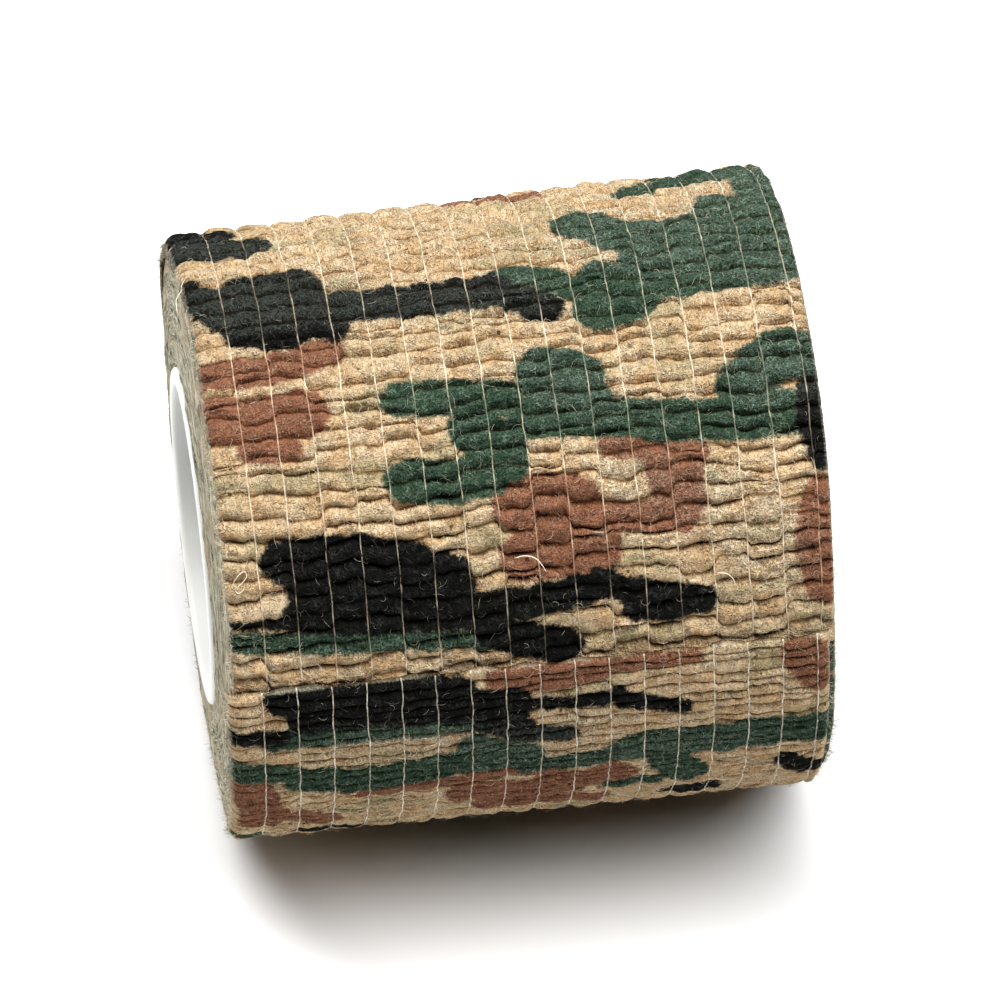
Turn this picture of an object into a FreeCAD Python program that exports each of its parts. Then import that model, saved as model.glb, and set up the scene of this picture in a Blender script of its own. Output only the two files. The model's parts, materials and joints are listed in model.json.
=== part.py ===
"""Roll of self-clinging elastic wrap tape on a plastic core, lying on its side.

The tape is a laminate: a back ply, a row of parallel elastic yarns and a printed
face ply.  It winds round the core as one spiral, and its free end, the tail, lies
on the front of the roll in three short lengths that peel away at hinge lines.

Frame (millimetres): X runs along the core's axis, +Z is up, -Y is the front, and
the origin is the middle of the core's bore.  Lap angles are measured round the
axis from the bottom of the roll (0 degrees) over the front (90) to the top (180).
"""
import FreeCAD
import Part
import Sketcher
import math
import os

Vector = FreeCAD.Vector

# ---------------------------------------------------------------- driving sizes
SIZES = {
    "core_bore_radius": 12.7,
    "core_wall": 1.6,
    "core_width": 51.6,
    "core_rim_round": 0.4,
    "core_clearance": 0.06,
    "tape_width": 50.0,
    "ply_thickness": 0.18,
    "yarn_thickness": 0.14,
    "yarn_width": 0.4,
    "yarn_spacing": 2.87,
    "yarn_row_offset": 0.87,
    "laminate_gap": 0.03,
    "turn_gap": 0.08,
    "tail_lift": 0.12,
    "tail_root_angle": 46.0,
    "tail_length_angle": 21.0,
    "hinge_gap": 0.4,
    "rest_half_width": 3.0,
}
TURNS = 17
YARNS = 17
SETTLED_TURNS = 5
TAIL_LENGTHS = ("tail_root", "tail_middle", "tail_tip")

doc = FreeCAD.newDocument("wrap_tape_roll")
sheet = doc.addObject("Spreadsheet::Sheet", "Sizes")
for row, (alias, value) in enumerate(SIZES.items(), start=1):
    sheet.set("A%d" % row, alias)
    sheet.set("B%d" % row, str(value))
    sheet.setAlias("B%d" % row, alias)
doc.recompute()


def size(alias):
    """Return the value that the sheet holds for an alias."""
    return float(sheet.get(alias))


# ------------------------------------------------------- the laminate's layers
# Each layer's offset is measured outwards from the tape's inner side.
back_inner = 0.0
back_outer = back_inner + size("ply_thickness")
yarn_inner = back_outer + size("laminate_gap")
yarn_outer = yarn_inner + size("yarn_thickness")
face_inner = yarn_outer + size("laminate_gap")
face_outer = face_inner + size("ply_thickness")
yarn_middle = (yarn_inner + yarn_outer) / 2

pitch = face_outer + size("turn_gap")
first_turn_radius = size("core_bore_radius") + size("core_wall") + size("core_clearance")


def bottom_radius(turn, offset):
    """Return how far below the axis a layer passes at the start of a turn."""
    return first_turn_radius + turn * pitch + offset


def settled_half_width(turn):
    """Return half the width of the flat where the roll has settled, at a turn."""
    depth_share = 1 - (TURNS - turn) / SETTLED_TURNS
    return size("rest_half_width") * math.sqrt(max(0.0, depth_share))


def front_centre():
    """Return the centre of every front half turn."""
    return Vector(0, 0, pitch / 4)


def back_centre():
    """Return the centre of every back half turn."""
    return Vector(0, 0, -pitch / 4)


def on_arc(centre, radius, angle):
    """Return the point at a lap angle, in degrees, on an arc round a centre."""
    turned = math.radians(angle)
    return centre + Vector(0, -radius * math.sin(turned), -radius * math.cos(turned))


def arc(centre, radius, start_angle, end_angle):
    """Return the arc edge between two lap angles round a centre."""
    middle_angle = (start_angle + end_angle) / 2
    ends_and_middle = [on_arc(centre, radius, angle) for angle in (start_angle, middle_angle, end_angle)]
    return Part.Arc(*ends_and_middle).toShape()


def flat_angle(turn, radius):
    """Return the angle from the bottom to the end of a turn's settled flat."""
    return math.degrees(math.asin(settled_half_width(turn) / radius))


def spiral_edges(offset, end_angle):
    """Return a layer's edges from the core out to a lap angle past the last turn."""
    edges = []
    for turn in range(TURNS):
        front_radius = bottom_radius(turn, offset) + pitch / 4
        back_radius = front_radius + pitch / 2
        front_start = flat_angle(turn, front_radius)
        back_end = 360 - flat_angle(turn + 1, back_radius)
        edges.append(arc(front_centre(), front_radius, front_start, 180))
        edges.append(arc(back_centre(), back_radius, 180, back_end))
    last_radius = bottom_radius(TURNS, offset) + pitch / 4
    edges.append(arc(front_centre(), last_radius, flat_angle(TURNS, last_radius), end_angle))
    return join_with_flats(edges)


def join_with_flats(edges):
    """Return the edges with a straight edge wherever one ends short of the next."""
    joined = [edges[0]]
    for edge in edges[1:]:
        last_point = joined[-1].lastVertex().Point
        next_point = edge.firstVertex().Point
        if last_point.distanceToPoint(next_point) > 1e-6:
            joined.append(Part.makeLine(last_point, next_point))
        joined.append(edge)
    return joined


def closed_section(inner_edges, outer_edges):
    """Return the flat face between a layer's inner and outer edges."""
    end_cap = Part.makeLine(inner_edges[-1].lastVertex().Point, outer_edges[-1].lastVertex().Point)
    start_cap = Part.makeLine(outer_edges[0].firstVertex().Point, inner_edges[0].firstVertex().Point)
    outline = inner_edges + [end_cap] + outer_edges[::-1] + [start_cap]
    return Part.Face(Part.Wire(Part.__sortEdges__(outline)))


# --------------------------------------------------------- angles along the tail
tail_inner_radius = bottom_radius(TURNS, 0) + pitch / 4 + size("tail_lift")
hinge_radius = tail_inner_radius + yarn_middle
gap_angle = math.degrees(size("hinge_gap") / hinge_radius)


def hinge_angle(length_index):
    """Return the lap angle of the hinge line at the foot of a tail length."""
    return size("tail_root_angle") + length_index * size("tail_length_angle")


def lap_section(inner_offset, outer_offset):
    """Return the section of a layer's wound part, up to the tail's root."""
    end_angle = hinge_angle(0) - gap_angle / 2
    return closed_section(spiral_edges(inner_offset, end_angle), spiral_edges(outer_offset, end_angle))


def tail_section(length_index, inner_offset, outer_offset):
    """Return the section of a layer in one length of the tail."""
    start_angle = hinge_angle(length_index) + gap_angle / 2
    end_angle = hinge_angle(length_index + 1)
    if length_index + 1 < len(TAIL_LENGTHS):
        end_angle -= gap_angle / 2
    inner_arc = arc(front_centre(), tail_inner_radius + inner_offset, start_angle, end_angle)
    outer_arc = arc(front_centre(), tail_inner_radius + outer_offset, start_angle, end_angle)
    return closed_section([inner_arc], [outer_arc])


# --------------------------------------------------------------- document objects
def add_section(name, face):
    """Add a layer's section to the document as the base of its strips."""
    section = doc.addObject("Part::Feature", name)
    section.Shape = face
    section.Placement = FreeCAD.Placement()
    return section


def add_strip(label, section, width_alias):
    """Add a strip made by drawing a section out evenly both ways along the axis."""
    strip = doc.addObject("Part::Extrusion", label)
    strip.Base = section
    strip.DirMode = "Custom"
    strip.Dir = Vector(1, 0, 0)
    strip.Solid = True
    strip.Symmetric = True
    strip.setExpression("LengthFwd", "Sizes." + width_alias)
    strip.Label = label
    strip.Placement = FreeCAD.Placement()
    return strip


def place_yarn(strip, yarn_index):
    """Bind a yarn strip's place across the tape's width to the yarn spacing."""
    steps_from_middle = yarn_index - (YARNS - 1) / 2
    place = "Sizes.yarn_row_offset + Sizes.yarn_spacing * %.1f" % steps_from_middle
    strip.setExpression("Placement.Base.x", place)


def build_core():
    """Build the core: a tube whose four rims are rounded."""
    body = doc.addObject("PartDesign::Body", "core_tube")
    body.Label = "core_tube"
    end_plane = [plane for plane in body.Origin.OriginFeatures if plane.Role == "YZ_Plane"][0]
    ring = body.newObject("Sketcher::SketchObject", "core_ring")
    ring.AttachmentSupport = [(end_plane, "")]
    ring.MapMode = "FlatFace"
    wall_radii = {
        "bore_radius": "Sizes.core_bore_radius",
        "outer_radius": "Sizes.core_bore_radius + Sizes.core_wall",
    }
    for name, expression in wall_radii.items():
        circle = ring.addGeometry(Part.Circle(Vector(0, 0, 0), Vector(0, 0, 1), 10), False)
        sketch_origin = -1
        ring.addConstraint(Sketcher.Constraint("Coincident", circle, 3, sketch_origin, 1))
        radius = ring.addConstraint(Sketcher.Constraint("Radius", circle, 10))
        ring.renameConstraint(radius, name)
        ring.setExpression("Constraints." + name, expression)
        doc.recompute()
    tube = body.newObject("PartDesign::Pad", "core_pad")
    tube.Profile = ring
    tube.Midplane = True
    tube.setExpression("Length", "Sizes.core_width")
    doc.recompute()
    rims = [
        "Edge%d" % number
        for number, edge in enumerate(tube.Shape.Edges, start=1)
        if isinstance(edge.Curve, Part.Circle)
    ]
    rounded = body.newObject("PartDesign::Fillet", "core_rims")
    rounded.Base = (tube, rims)
    rounded.setExpression("Radius", "Sizes.core_rim_round")
    body.Tip = rounded
    return body


def build_wound_tape():
    """Build the wound part of the tape: two plies and a strip for each yarn."""
    back = add_strip("back_ply", add_section("back_lap", lap_section(back_inner, back_outer)), "tape_width")
    face = add_strip("face_ply", add_section("face_lap", lap_section(face_inner, face_outer)), "tape_width")
    yarn_lap = add_section("yarn_lap", lap_section(yarn_inner, yarn_outer))
    yarns = []
    for yarn_index in range(YARNS):
        yarn = add_strip("yarn_%02d" % (yarn_index + 1), yarn_lap, "yarn_width")
        place_yarn(yarn, yarn_index)
        yarns.append(yarn)
    return [back, face] + yarns


def build_tail_length(length_index, name):
    """Build one length of the tail: two plies and a group of yarn stretches."""
    back_face = tail_section(length_index, back_inner, back_outer)
    face_face = tail_section(length_index, face_inner, face_outer)
    yarn_face = tail_section(length_index, yarn_inner, yarn_outer)
    back = add_strip(name + "_back_ply", add_section(name + "_back", back_face), "tape_width")
    face = add_strip(name + "_face_ply", add_section(name + "_face", face_face), "tape_width")
    yarn_section = add_section(name + "_yarn", yarn_face)
    stretches = []
    for yarn_index in range(YARNS):
        stretch = add_strip("%s_stretch_%02d" % (name, yarn_index + 1), yarn_section, "yarn_width")
        place_yarn(stretch, yarn_index)
        stretches.append(stretch)
    group = doc.addObject("Part::Compound", name + "_yarns")
    group.Links = stretches
    group.Label = name + "_yarns"
    return [back, face, group]


pieces = [build_core()] + build_wound_tape()
for length_index, name in enumerate(TAIL_LENGTHS):
    pieces += build_tail_length(length_index, name)
doc.recompute()

# ------------------------------------------------------------ checks, then files
for item in doc.Objects:
    if "Invalid" in item.State or "Error" in item.State:
        raise RuntimeError("%s did not build: %s" % (item.Name, item.State))
for piece in pieces:
    if piece.Shape.isNull() or not piece.Shape.isValid():
        raise RuntimeError("%s has no valid shape" % piece.Label)

os.makedirs("parts", exist_ok=True)
for piece in pieces:
    piece.Shape.exportStep("parts/%s.step" % piece.Label)

for length_index, name in enumerate(TAIL_LENGTHS):
    hinge = on_arc(front_centre(), hinge_radius, hinge_angle(length_index))
    print("%s hinge: y %.4f z %.4f" % (name, hinge.y, hinge.z))
rest_radius = bottom_radius(TURNS, face_outer) + pitch / 4
rest = on_arc(front_centre(), rest_radius, flat_angle(TURNS, rest_radius))
print("rest flat: z %.4f, bore wall length %.2f" % (rest.z, size("core_width") - 2 * size("core_rim_round")))
print("pieces: %d" % len(pieces))
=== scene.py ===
"""Roll of crinkled self-clinging wrap tape on a white plastic core: the looks round the frame.

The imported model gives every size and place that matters: the core, the width of the tape,
the floor that the roll lies on and the hinge lines of the free tail.  Lap angles are measured
round the core's axis, X, from the bottom of the roll (0) over the front (90 degrees) to the
top (180), and negative angles run back along the same tape under the roll and up its back.
Cloth places are in millimetres: x across the tape, and s along it.
"""

import json
import logging
import math
from dataclasses import dataclass, field
from enum import Enum

import bmesh
import bpy
import numpy as np
from mathutils import Matrix, Vector

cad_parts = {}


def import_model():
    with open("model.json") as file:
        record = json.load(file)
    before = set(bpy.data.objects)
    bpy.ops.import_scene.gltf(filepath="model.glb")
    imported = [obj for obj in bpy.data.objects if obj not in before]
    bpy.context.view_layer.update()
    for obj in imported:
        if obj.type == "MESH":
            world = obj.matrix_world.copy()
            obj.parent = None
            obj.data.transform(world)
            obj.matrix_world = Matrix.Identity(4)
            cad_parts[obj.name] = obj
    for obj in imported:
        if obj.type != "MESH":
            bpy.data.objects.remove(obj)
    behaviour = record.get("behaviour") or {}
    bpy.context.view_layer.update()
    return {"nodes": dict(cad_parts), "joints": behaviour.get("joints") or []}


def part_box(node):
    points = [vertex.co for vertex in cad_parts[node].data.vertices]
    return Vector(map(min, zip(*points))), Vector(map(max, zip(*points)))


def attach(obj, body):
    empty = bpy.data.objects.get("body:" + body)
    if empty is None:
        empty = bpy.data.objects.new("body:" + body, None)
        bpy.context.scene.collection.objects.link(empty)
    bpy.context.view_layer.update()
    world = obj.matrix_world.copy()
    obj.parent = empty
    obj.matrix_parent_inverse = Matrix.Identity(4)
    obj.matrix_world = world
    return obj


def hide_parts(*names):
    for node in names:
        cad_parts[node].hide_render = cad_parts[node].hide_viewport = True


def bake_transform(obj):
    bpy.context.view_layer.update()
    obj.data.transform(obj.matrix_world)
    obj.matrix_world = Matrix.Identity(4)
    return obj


MM = 0.001
NO_DYE = -9.0
MERGE = 1e-7

log = logging.getLogger("wrap_roll")


class Body(Enum):
    """The frame's bodies that the script names; it reads the others from the joints."""

    ROLL = "roll"
    TAIL_ROOT = "tail_root"


class Slot(Enum):
    """The record's material slots, by name."""

    FACE = "printed_nonwoven"
    BACK = "plain_nonwoven"
    YARN = "elastic_yarn"


class Dye(Enum):
    """The printed colours, in the order in which they lie over the tan ground."""

    RUST = "dye_rust"
    GREEN = "dye_green"
    BLACK = "dye_black"


# ------------------------------------------------------------------------ noise and meshes
class ValueNoise:
    """Smooth seeded noise on a plane, between -1 and 1."""

    def __init__(self, seed: int, cells: int = 97) -> None:
        """Fill the lattice.

        Args:
            seed: the number that the lattice's values come from.
            cells: how many lattice cells there are before the noise repeats.
        """
        self.cells = cells
        self.lattice = np.random.RandomState(seed).uniform(-1.0, 1.0, (cells, cells))

    def at(self, across: np.ndarray, along: np.ndarray) -> np.ndarray:
        """Return the noise at places on the plane.

        Args:
            across: first coordinates, in lattice cells.
            along: second coordinates, in lattice cells.

        Returns:
            One value for each place.
        """
        across, along = np.broadcast_arrays(np.asarray(across, float), np.asarray(along, float))
        column, row = np.floor(across).astype(int), np.floor(along).astype(int)
        u, v = across - column, along - row
        u, v = u * u * (3 - 2 * u), v * v * (3 - 2 * v)
        left, right = column % self.cells, (column + 1) % self.cells
        low, high = row % self.cells, (row + 1) % self.cells
        below = self.lattice[left, low] * (1 - u) + self.lattice[right, low] * u
        above = self.lattice[left, high] * (1 - u) + self.lattice[right, high] * u
        return below * (1 - v) + above * v


def smooth_step(low: float, high: float, value: np.ndarray) -> np.ndarray:
    """Return 0 below low, 1 above high and a smooth ramp between."""
    t = np.clip((np.asarray(value, float) - low) / (high - low), 0.0, 1.0)
    return t * t * (3 - 2 * t)


def new_object(name: str, mesh: bpy.types.Mesh) -> bpy.types.Object:
    """Link a mesh into the scene as a named object at the origin."""
    made = bpy.data.objects.new(name, mesh)
    bpy.context.scene.collection.objects.link(made)
    return made


def grid_mesh(name: str, columns: int, rows: int) -> tuple[bpy.types.Mesh, np.ndarray, np.ndarray]:
    """Make a flat grid whose vertices are then laid on a surface.

    Args:
        name: the mesh's name.
        columns: faces across.
        rows: faces along.

    Returns:
        The mesh, and each vertex's column and row number.
    """
    grid = bmesh.new()
    bmesh.ops.create_grid(grid, x_segments=columns, y_segments=rows, size=1.0)
    mesh = bpy.data.meshes.new(name)
    grid.to_mesh(mesh)
    grid.free()
    flat = np.empty(len(mesh.vertices) * 3)
    mesh.vertices.foreach_get("co", flat)
    flat = flat.reshape(-1, 3)
    column = np.rint((flat[:, 0] + 1) / 2 * columns).astype(int)
    row = np.rint((flat[:, 1] + 1) / 2 * rows).astype(int)
    return mesh, column, row


def lay(mesh: bpy.types.Mesh, places: np.ndarray) -> None:
    """Move every vertex of a mesh to its place, in metres."""
    mesh.vertices.foreach_set("co", np.ascontiguousarray(places, dtype=float).ravel())
    mesh.update()


def paint(mesh: bpy.types.Mesh, name: str, values: np.ndarray) -> None:
    """Store a number or a vector for each vertex, for a material to read."""
    values = np.asarray(values, np.float32)
    kind, key = ("FLOAT_VECTOR", "vector") if values.ndim == 2 else ("FLOAT", "value")
    mesh.attributes.new(name, kind, "POINT").data.foreach_set(key, values.ravel())


def finish_mesh(mesh: bpy.types.Mesh, merge: float = 0.0) -> None:
    """Merge doubles if asked, point the faces outwards and shade them smooth.

    Args:
        mesh: the mesh to finish.
        merge: the distance within which vertices become one, or 0 for none.
    """
    shell = bmesh.new()
    shell.from_mesh(mesh)
    if merge:
        bmesh.ops.remove_doubles(shell, verts=shell.verts, dist=merge)
        bmesh.ops.recalc_face_normals(shell, faces=shell.faces)
    for face in shell.faces:
        face.smooth = True
    shell.to_mesh(mesh)
    shell.free()


def put_in_order(shell: bmesh.types.BMesh) -> None:
    """Sort the faces by their vertices, because extruding leaves them in an order that varies."""
    shell.verts.index_update()
    count = len(shell.verts)

    def number_of(face: bmesh.types.BMFace) -> int:
        """Return a number that no other face has."""
        corners = sorted(vertex.index for vertex in face.verts)
        return (corners[0] * count + corners[1]) * count + corners[-1]

    shell.faces.sort(key=number_of)
    shell.faces.index_update()


def curled(
    roots: np.ndarray, heading: np.ndarray, outward: np.ndarray, length: np.ndarray, bend: np.ndarray,
    rise: np.ndarray, steps: int = 5,
) -> np.ndarray:
    """Return the lines of loose fibres that each curl one way as they rise off a surface and come back.

    Args:
        roots: where each fibre starts.
        heading: the direction in which each one sets out.
        outward: the surface's outward direction at each one.
        length: each one's length.
        bend: how far each one turns over its length, in radians.
        rise: how high each one stands, as a share of its length.
        steps: how many straight steps each line has.

    Returns:
        An array of one row of points for each fibre.
    """
    heading = heading / np.linalg.norm(heading, axis=1, keepdims=True)
    beside = np.cross(outward, heading)
    t = np.linspace(0, 1, steps + 1)[None, :, None]
    bend = np.where(np.abs(bend) < 0.05, 0.05, bend)[:, None, None]
    ahead = np.sin(bend * t) / bend * heading[:, None]
    aside = (1 - np.cos(bend * t)) / bend * beside[:, None]
    off = rise[:, None, None] * np.sin(math.pi * t) * outward[:, None]
    return roots[:, None] + length[:, None, None] * (ahead + aside + off)


def loose_fibres(
    name: str, lines: np.ndarray, outward: np.ndarray, radius: float, sides: int = 3
) -> tuple[bpy.types.Object, np.ndarray]:
    """Build loose fibres as one piece, each a thin closed tube that tapers at both ends.

    Args:
        name: the piece's name.
        lines: one row of points for each fibre, in metres.
        outward: a direction that no fibre runs along.
        radius: the fibres' radius in metres.
        sides: how many sides each tube has.

    Returns:
        The new piece, and the number of the fibre that each vertex belongs to.
    """
    count, points = lines.shape[:2]
    mesh, column, row = grid_mesh(name, sides, count * points - 1)
    hair, step = row // points, row % points
    along = np.gradient(lines, axis=1)
    first = np.cross(along, np.broadcast_to(outward[:, None], along.shape))
    first /= np.linalg.norm(first, axis=2, keepdims=True) + 1e-12
    second = np.cross(along, first)
    second /= np.linalg.norm(second, axis=2, keepdims=True) + 1e-12
    thick = radius * np.sqrt(1 - (2 * step / (points - 1) - 1) ** 4)[:, None]
    around = (column / sides * math.tau)[:, None]
    ring = np.cos(around) * first[hair, step] + np.sin(around) * second[hair, step]
    lay(mesh, lines[hair, step] + thick * ring)
    paint(mesh, "hair", hair)
    tube = bmesh.new()
    tube.from_mesh(mesh)
    bridging = [face for face in tube.faces if len({hair[vertex.index] for vertex in face.verts}) > 1]
    bmesh.ops.delete(tube, geom=bridging, context="FACES")
    tube.to_mesh(mesh)
    tube.free()
    finish_mesh(mesh, merge=MERGE)
    kept = np.empty(len(mesh.vertices))
    mesh.attributes["hair"].data.foreach_get("value", kept)
    return new_object(name, mesh), np.rint(kept).astype(int)


def leave_undyed(piece: bpy.types.Object, tone: np.ndarray, finish: bpy.types.Material) -> None:
    """Give loose fibres no dye, a tone for each vertex and their finish."""
    for dye in Dye:
        paint(piece.data, dye.value, np.full(len(tone), NO_DYE))
    paint(piece.data, "tone", tone)
    piece.data.materials.append(finish)


# ------------------------------------------------------------------------------ the shape
@dataclass(frozen=True)
class RollShape:
    """Where the tape's outer surface lies, as the frame gives it.  Sizes in millimetres."""

    half_width: float
    core_radius: float
    floor: float
    last_radius: float
    root_angle: float
    pitch: float = 0.64
    edge_round: float = 1.0
    swell: float = 0.35
    tail_rise: float = 0.12
    edge_spread: float = 0.5
    tail_drift: float = 0.6
    end_angle: float = 109.0
    seam_angle: float = 36.0
    rest_gap: float = 0.02
    rest_reach: float = 0.6
    rest_sharpness: float = 14.0

    @classmethod
    def from_frame(cls, joints: list[dict]) -> "RollShape":
        """Read the shape from the frame's boxes and joints.

        Args:
            joints: the frame's joints.

        Returns:
            The shape.
        """
        low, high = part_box("face_ply")
        core_low, core_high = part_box("core_tube")
        foot = next(joint["pos_m"] for joint in joints if joint["child"] == Body.TAIL_ROOT.value)
        return cls(
            half_width=high.x / MM,
            core_radius=(core_high.z - core_low.z) / 2 / MM,
            floor=low.z / MM,
            last_radius=high.z / MM + cls.pitch / 2,
            root_angle=math.degrees(math.atan2(-foot[1], -foot[2])),
        )

    @property
    def round_length(self) -> float:
        """The length of tape in the last turn."""
        return math.tau * self.last_radius

    def angle_of(self, s: np.ndarray) -> np.ndarray:
        """Return the lap angle, in degrees, at a distance along the tape."""
        return np.degrees(np.asarray(s, float) / self.last_radius)

    def s_of(self, angle: float) -> float:
        """Return the distance along the tape at a lap angle in degrees."""
        return math.radians(angle) * self.last_radius

    def radius(self, x: np.ndarray, angle: np.ndarray) -> np.ndarray:
        """Return the outer surface's mean radius at a place on the tape."""
        spiral = self.last_radius + self.pitch * angle / 360
        rise = self.tail_rise * smooth_step(self.seam_angle - 8, self.root_angle, angle)
        inward = np.clip((np.abs(x) - self.half_width + self.edge_round) / self.edge_round, 0, 1)
        corner = self.edge_round * (1 - np.sqrt(np.clip(1 - inward**2, 0, 1)))
        return spiral + rise + self.swell * x / self.half_width - corner

    def sideways(self, x: np.ndarray, angle: np.ndarray) -> np.ndarray:
        """Return how far the cloth strays along the core: edges out at the top, the tail to the left."""
        around = np.mod(angle, 360)
        before_back = smooth_step(290, 240, around)
        at_top = smooth_step(108, 150, around) * before_back
        spread = self.edge_spread * smooth_step(self.half_width - 6, self.half_width, x) * at_top
        high_up = smooth_step(180, 220, around) * before_back
        spread = spread - self.edge_spread * smooth_step(3 - self.half_width, -self.half_width, x) * high_up
        return spread - self.tail_drift * smooth_step(self.seam_angle, self.seam_angle + 24, angle)

    def place(self, x: np.ndarray, angle: np.ndarray, lift: np.ndarray) -> np.ndarray:
        """Return places in metres for cloth places, lifted off the mean surface.

        Args:
            x: places across the tape.
            angle: lap angles in degrees.
            lift: heights above the mean surface.

        Returns:
            An array of points.
        """
        radius = self.radius(x, angle) + lift
        turned = np.radians(angle)
        y, z = -radius * np.sin(turned), -radius * np.cos(turned)
        x = x + self.sideways(x, angle)
        above = (z - self.floor - self.rest_gap) * self.rest_sharpness
        settled = self.floor + self.rest_gap + np.logaddexp(0, above) / self.rest_sharpness
        z = np.where(z < self.floor + self.rest_reach, settled, z)
        return np.stack([np.broadcast_to(x, radius.shape), y, z], axis=-1) * MM


@dataclass(frozen=True)
class Lanes:
    """The strips of cloth between the yarns, across the tape."""

    half_width: float
    first_yarn: float
    last_yarn: float
    yarns: int = 17
    columns: int = 10

    @classmethod
    def from_frame(cls, half_width: float) -> "Lanes":
        """Read where the first and the last yarn lie from the frame's boxes."""
        first, last = (
            sum(corner.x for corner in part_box(name)) / 2 / MM
            for name in ("yarn_01", "yarn_%02d" % cls.yarns)
        )
        return cls(half_width, first, last)

    def yarn_places(self) -> np.ndarray:
        """Return where each yarn lies across the tape."""
        return np.linspace(self.first_yarn, self.last_yarn, self.yarns)

    def borders(self) -> np.ndarray:
        """Return the places that part one lane from the next, edges included."""
        return np.concatenate([[-self.half_width], self.yarn_places(), [self.half_width]])

    def column_places(self) -> np.ndarray:
        """Return where each column of the cloth's grid lies, closer at the tape's edges."""
        borders = self.borders()
        share = np.arange(self.columns) / self.columns
        places = []
        for lane in range(len(borders) - 1):
            spread = share
            if lane == 0:
                spread = share**1.5
            if lane == len(borders) - 2:
                spread = 1 - (1 - share) ** 1.5
            places.append(borders[lane] + (borders[lane + 1] - borders[lane]) * spread)
        return np.concatenate(places + [borders[-1:]])

    def lane_of(self, x: np.ndarray) -> tuple[np.ndarray, np.ndarray]:
        """Return each place's lane number and its share of the way across that lane."""
        borders = self.borders()
        lane = np.clip(np.searchsorted(borders, x, side="right") - 1, 0, len(borders) - 2)
        across = (x - borders[lane]) / (borders[lane + 1] - borders[lane])
        return lane, np.clip(across, 0, 1)


@dataclass
class Crinkle:
    """How a stretch of cloth puckers into ridges across the tape.  Sizes in millimetres."""

    lanes: Lanes
    pitch: float
    height: float
    seed: int
    sink: float
    puff: float = 0.07
    wander: float = 0.3
    jitter: float = 0.54
    lean: float = 0.1
    slow: ValueNoise = field(init=False)
    quick: ValueNoise = field(init=False)
    pits: ValueNoise = field(init=False)

    def __post_init__(self) -> None:
        """Make the noises that vary the ridges."""
        self.slow = ValueNoise(self.seed)
        self.quick = ValueNoise(self.seed + 1)
        self.pits = ValueNoise(self.seed + 2)

    def shift(self, x: np.ndarray, phase: np.ndarray) -> np.ndarray:
        """Return how far a ridge line strays from straight, in ridges."""
        lane, across = self.lanes.lane_of(x)
        straight = self.wander * self.slow.at(x / 11 + 40, phase / 5)
        nearer = np.where(across < 0.5, lane - 1, lane + 1)
        blend = 0.5 * smooth_step(0.4, 0.5, np.abs(across - 0.5))
        own = self.quick.at(lane * 1.0, phase / 1.7)
        beside = self.quick.at(nearer * 1.0, phase / 1.7)
        tilt = 0.1 * self.quick.at(lane + 31.0, phase / 1.3) * np.sin(math.pi * 2 * across)
        bow = 0.12 * self.quick.at(lane + 57.0, phase / 1.2) * np.sin(math.pi * across)
        ripple = 0.05 * self.quick.at(x * 1.7, phase * 1.0)
        return straight + self.jitter * (own * (1 - blend) + beside * blend) + tilt + bow + ripple

    def lift(self, x: np.ndarray, phase: np.ndarray) -> tuple[np.ndarray, np.ndarray]:
        """Return the cloth's height off the mean surface, and how near a ridge's top it is.

        Args:
            x: places across the tape.
            phase: places along it, counted in ridges.

        Returns:
            The heights, and shares from 0 in a crease to 1 on a ridge.
        """
        lane, across = self.lanes.lane_of(x)
        ridge = np.floor(phase + 1e-6)
        within = np.clip(phase - ridge, 0, 1)
        hump = np.sin(math.pi * within) ** 0.7
        puffed = 1 - np.abs(2 * across - 1) ** 4
        fullness = 0.8 + 0.42 * self.quick.at(lane * 0.9 + across * 0.8, ridge + 0.5)
        valleys = [(ridge, 1 - within), (ridge + 1, within)]
        shallow, pocket = 0.0, 0.0
        for valley, share in valleys:
            depth = self.slow.at(lane * 1.7 + across * 0.9, valley + 0.37)
            shallow = shallow + share * np.clip(depth - 0.15, 0, 1) * 0.8
            pocket = pocket + share * np.clip(0.25 - depth, 0, 0.9) * 0.75
        between = 1 - hump
        body = hump * fullness + shallow * between - pocket * puffed * between**2
        body = self.height * (0.54 + 0.46 * puffed) * body
        lumps = 0.22 * self.quick.at(x * 0.8, phase * self.pitch * 1.1)
        lumps = lumps + 0.22 * self.slow.at(x * 1.9, phase * self.pitch * 2.3)
        lumps = lumps + 0.22 * self.pits.at(x * 0.75 + 20, phase * self.pitch * 2.8)
        dimples = 0.42 * smooth_step(0.4, 0.95, self.pits.at(x * 1.2, phase * self.pitch * 1.5))
        soft = self.height * np.minimum(1, puffed + 0.2)
        return body + self.puff * puffed + (lumps - dimples) * soft - self.sink, hump


# ------------------------------------------------------------------------------ the print
@dataclass(frozen=True)
class Stroke:
    """One sweep of dye: a line through a few places, as broad as a round brush."""

    radius: float
    line: tuple[tuple[float, float], ...]

    def depth(self, x: np.ndarray, s: np.ndarray) -> np.ndarray:
        """Return how far inside the stroke each place is, negative outside it."""
        nearest = np.full(x.shape, np.inf)
        ends = self.line[1:] or self.line
        for (x0, s0), (x1, s1) in zip(self.line, ends):
            along_x, along_s = x1 - x0, s1 - s0
            length_squared = along_x**2 + along_s**2 or 1.0
            t = np.clip(((x - x0) * along_x + (s - s0) * along_s) / length_squared, 0, 1)
            nearest = np.minimum(nearest, np.hypot(x - x0 - t * along_x, s - s0 - t * along_s))
        return self.radius - nearest


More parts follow.
